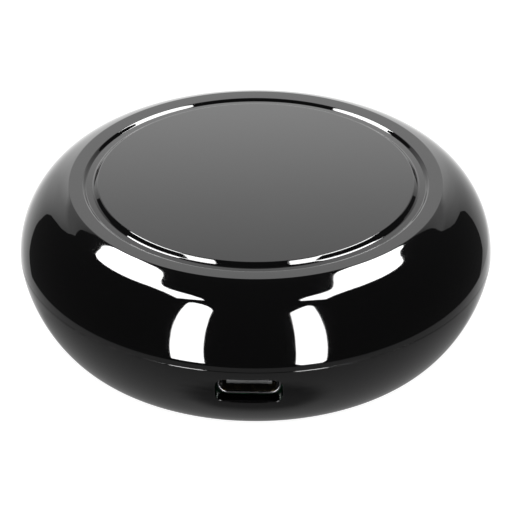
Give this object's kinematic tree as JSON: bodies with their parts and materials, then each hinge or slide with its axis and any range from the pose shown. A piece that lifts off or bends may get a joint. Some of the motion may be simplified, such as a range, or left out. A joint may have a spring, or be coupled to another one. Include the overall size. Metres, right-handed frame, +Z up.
{
  "type": "smart infrared blaster",
  "caption": "Round pebble-shaped infrared remote hub: gloss-black two-part housing, flat top panel in a grooved recess, front charging port, foot ring and a reset button underneath.",
  "frame": {"origin": "middle of the underside, on the surface that the object stands on", "axes": "+Z up, the charging port faces -Y, +X to the right of someone who faces the port"},
  "size_m": [0.068, 0.068, 0.0243],
  "materials": {
    "housing_gloss": "polished gloss black, lets infrared light through",
    "panel_gloss": "flat gloss panel, black like the housing",
    "tape": "double-sided adhesive tape",
    "foot_rubber": "matt black silicone",
    "screw_steel": "zinc-plated steel",
    "board_green": "green solder mask on glass-fibre board",
    "port_steel": "dark nickel-plated sheet",
    "port_plastic": "black moulded tongue",
    "contact_gold": "gold-plated",
    "radio_board_blue": "blue solder mask",
    "shield_steel": "tinned sheet",
    "antenna_copper": "gold-flashed copper trace",
    "diode_epoxy": "water-clear epoxy",
    "lead_tin": "tinned wire",
    "receiver_epoxy": "dark epoxy that passes infrared light",
    "chip_white": "white ceramic with a clear cap",
    "can_aluminium": "drawn can",
    "chip_black": "moulded black epoxy",
    "ferrite": "pressed ferrite",
    "chip_ceramic": "fired ceramic",
    "switch_steel": "pressed steel",
    "switch_plastic": "moulded nylon",
    "button_plastic": "fine satin black"
  },
  "bodies": {
    "housing": {"lower_shell": "housing_gloss", "upper_shell": "housing_gloss", "top_panel": "panel_gloss", "panel_adhesive": "tape", "rubber_foot": "foot_rubber", "foot_adhesive": "tape", "case_screws": "screw_steel", "main_board": "board_green", "usb_shell": "port_steel", "usb_tongue": "port_plastic", "usb_contacts": "contact_gold", "radio_board": "radio_board_blue", "radio_shield": "shield_steel", "radio_antenna": "antenna_copper", "ir_led_1": "diode_epoxy", "ir_led_2": "diode_epoxy", "ir_led_3": "diode_epoxy", "ir_led_4": "diode_epoxy", "ir_led_5": "diode_epoxy", "ir_led_6": "diode_epoxy", "ir_led_7": "diode_epoxy", "ir_led_top": "diode_epoxy", "led_leads": "lead_tin", "ir_receiver": "receiver_epoxy", "receiver_leads": "lead_tin", "status_led": "chip_white", "bulk_capacitor": "can_aluminium", "capacitor_base": "chip_black", "voltage_regulator": "chip_black", "regulator_leads": "lead_tin", "power_inductor": "ferrite", "driver_transistors": "chip_black", "chip_resistors": "chip_black", "chip_capacitors": "chip_ceramic", "reset_switch_case": "chip_black", "reset_switch_cover": "switch_steel"},
    "reset_button": {"reset_button": "button_plastic"},
    "switch_plunger": {"reset_switch_plunger": "switch_plastic"}
  },
  "joints": [
    {"name": "reset_press", "type": "slide", "parent": "housing", "child": "reset_button", "axis": [0, 0, 1], "range_m": [0, 0.0003], "stiffness_N_per_m": 3000, "springref_m": -0.0001},
    {"name": "switch_stroke", "type": "slide", "parent": "housing", "child": "switch_plunger", "axis": [0, 0, 1], "range_m": [0, 0.0003]}
  ],
  "couplings": [
    {"joint": "switch_stroke", "follows": "reset_press", "ratio": 1}
  ]
}
